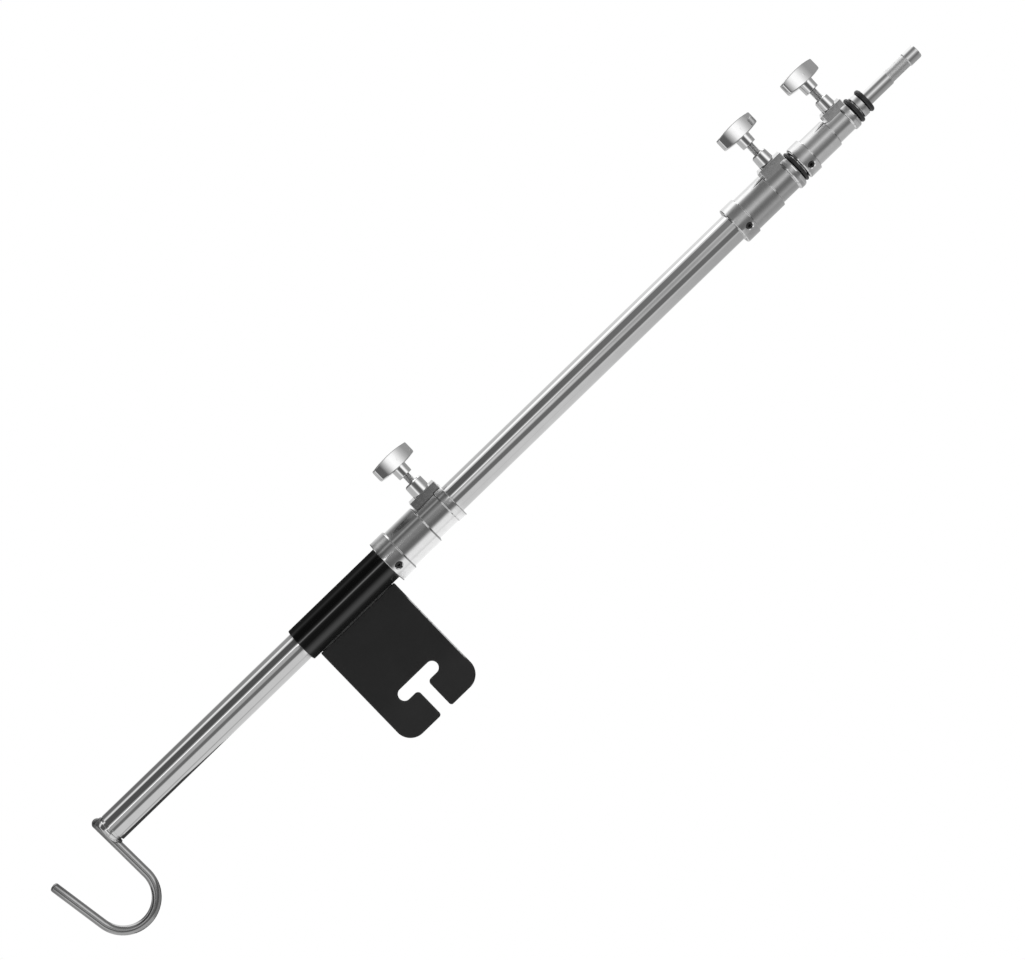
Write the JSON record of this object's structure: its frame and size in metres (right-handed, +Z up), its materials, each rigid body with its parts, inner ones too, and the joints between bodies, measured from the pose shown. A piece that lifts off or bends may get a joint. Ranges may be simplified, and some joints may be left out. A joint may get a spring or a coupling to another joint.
{
  "type": "baby boom arm",
  "caption": "Telescoping grip boom arm: black sleeve with slotted ear plate, chrome tubes that slide and turn, T-knob collars, counterweight hook and baby pin.",
  "frame": {"origin": "on the -Y face of the ear plate, 60 mm below the arm's axis and midway along the sleeve, where a grip head's jaw bears", "axes": "+X along the arm towards the baby pin, +Z up from the ear plate to the T-knobs, +Y through the ear plate"},
  "size_m": [1.2077, 0.0497, 0.2246],
  "materials": {
    "chrome": "polished chrome plate",
    "cast_nickel": "chrome plate over a cast and turned body",
    "satin_nickel": "plated screw thread",
    "gloss_black": "gloss black enamel",
    "satin_black": "satin black enamel",
    "black_oxide": "black oxide",
    "rubber": "matte",
    "brass": "as machined",
    "nylon": "natural nylon"
  },
  "bodies": {
    "mount": {"sleeve_tube": "gloss_black", "ear_plate": "satin_black", "sleeve_collar": "cast_nickel", "sleeve_collar_bushing": "chrome", "sleeve_collar_set_screw_front": "black_oxide", "sleeve_collar_set_screw_rear": "black_oxide"},
    "sleeve_shoe": {"sleeve_clamp_shoe": "brass"},
    "sleeve_knob": {"sleeve_knob": "chrome", "sleeve_knob_screw": "satin_nickel"},
    "turning_bush": {"rear_guide_bush": "nylon"},
    "boom": {"boom_tube": "chrome", "boom_end_plug": "chrome", "counterweight_hook": "chrome", "boom_collar": "cast_nickel", "boom_collar_bushing": "chrome", "boom_collar_set_screw_front": "black_oxide", "boom_collar_set_screw_rear": "black_oxide"},
    "boom_shoe": {"boom_clamp_shoe": "brass"},
    "boom_knob": {"boom_knob": "chrome", "boom_knob_screw": "satin_nickel"},
    "middle_guide": {"middle_guide_ring": "nylon"},
    "middle": {"middle_tube": "chrome", "middle_bumper_ring": "rubber", "middle_collar": "cast_nickel", "middle_collar_bushing": "chrome", "middle_collar_set_screw_front": "black_oxide", "middle_collar_set_screw_rear": "black_oxide"},
    "middle_shoe": {"middle_clamp_shoe": "brass"},
    "middle_knob": {"middle_knob": "chrome", "middle_knob_screw": "satin_nickel"},
    "inner_guide": {"inner_guide_ring": "nylon"},
    "inner": {"inner_tube": "chrome", "inner_bumper_ring": "rubber", "pin_ferrule": "chrome", "pin_bumper_ring": "rubber", "baby_pin": "chrome"}
  },
  "joints": [
    {"name": "boom_turn", "type": "hinge", "parent": "mount", "child": "turning_bush", "pos_m": [0, 0.00317, 0.06], "axis": [1, 0, 0], "continuous": true},
    {"name": "boom_slide", "type": "slide", "parent": "turning_bush", "child": "boom", "axis": [1, 0, 0], "range_m": [-0.39, 0.264]},
    {"name": "middle_slide", "type": "slide", "parent": "boom", "child": "middle_guide", "axis": [1, 0, 0], "range_m": [0, 0.6]},
    {"name": "middle_turn", "type": "hinge", "parent": "middle_guide", "child": "middle", "pos_m": [0, 0.00317, 0.06], "axis": [1, 0, 0], "continuous": true},
    {"name": "inner_slide", "type": "slide", "parent": "middle", "child": "inner_guide", "axis": [1, 0, 0], "range_m": [0, 0.6]},
    {"name": "inner_turn", "type": "hinge", "parent": "inner_guide", "child": "inner", "pos_m": [0, 0.00317, 0.06], "axis": [1, 0, 0], "continuous": true},
    {"name": "sleeve_shoe_lift", "type": "slide", "parent": "mount", "child": "sleeve_shoe", "axis": [0, 0, 1], "range_m": [0, 0.00282]},
    {"name": "sleeve_knob_turn", "type": "hinge", "parent": "sleeve_shoe", "child": "sleeve_knob", "pos_m": [0.13415, 0.00317, 0.06], "axis": [0, 0, 1], "range_deg": [0, 720]},
    {"name": "boom_shoe_lift", "type": "slide", "parent": "boom", "child": "boom_shoe", "axis": [0, 0, 1], "range_m": [0, 0.00282]},
    {"name": "boom_knob_turn", "type": "hinge", "parent": "boom_shoe", "child": "boom_knob", "pos_m": [0.611, 0.00317, 0.06], "axis": [0, 0, 1], "range_deg": [0, 720]},
    {"name": "middle_shoe_lift", "type": "slide", "parent": "middle", "child": "middle_shoe", "axis": [0, 0, 1], "range_m": [0, 0.00282]},
    {"name": "middle_knob_turn", "type": "hinge", "parent": "middle_shoe", "child": "middle_knob", "pos_m": [0.694, 0.00317, 0.06], "axis": [0, 0, 1], "range_deg": [0, 720]}
  ],
  "couplings": [
    {"joint": "sleeve_knob_turn", "follows": "sleeve_shoe_lift", "rad_per_m": 4453},
    {"joint": "boom_knob_turn", "follows": "boom_shoe_lift", "rad_per_m": 4453},
    {"joint": "middle_knob_turn", "follows": "middle_shoe_lift", "rad_per_m": 4453}
  ]
}
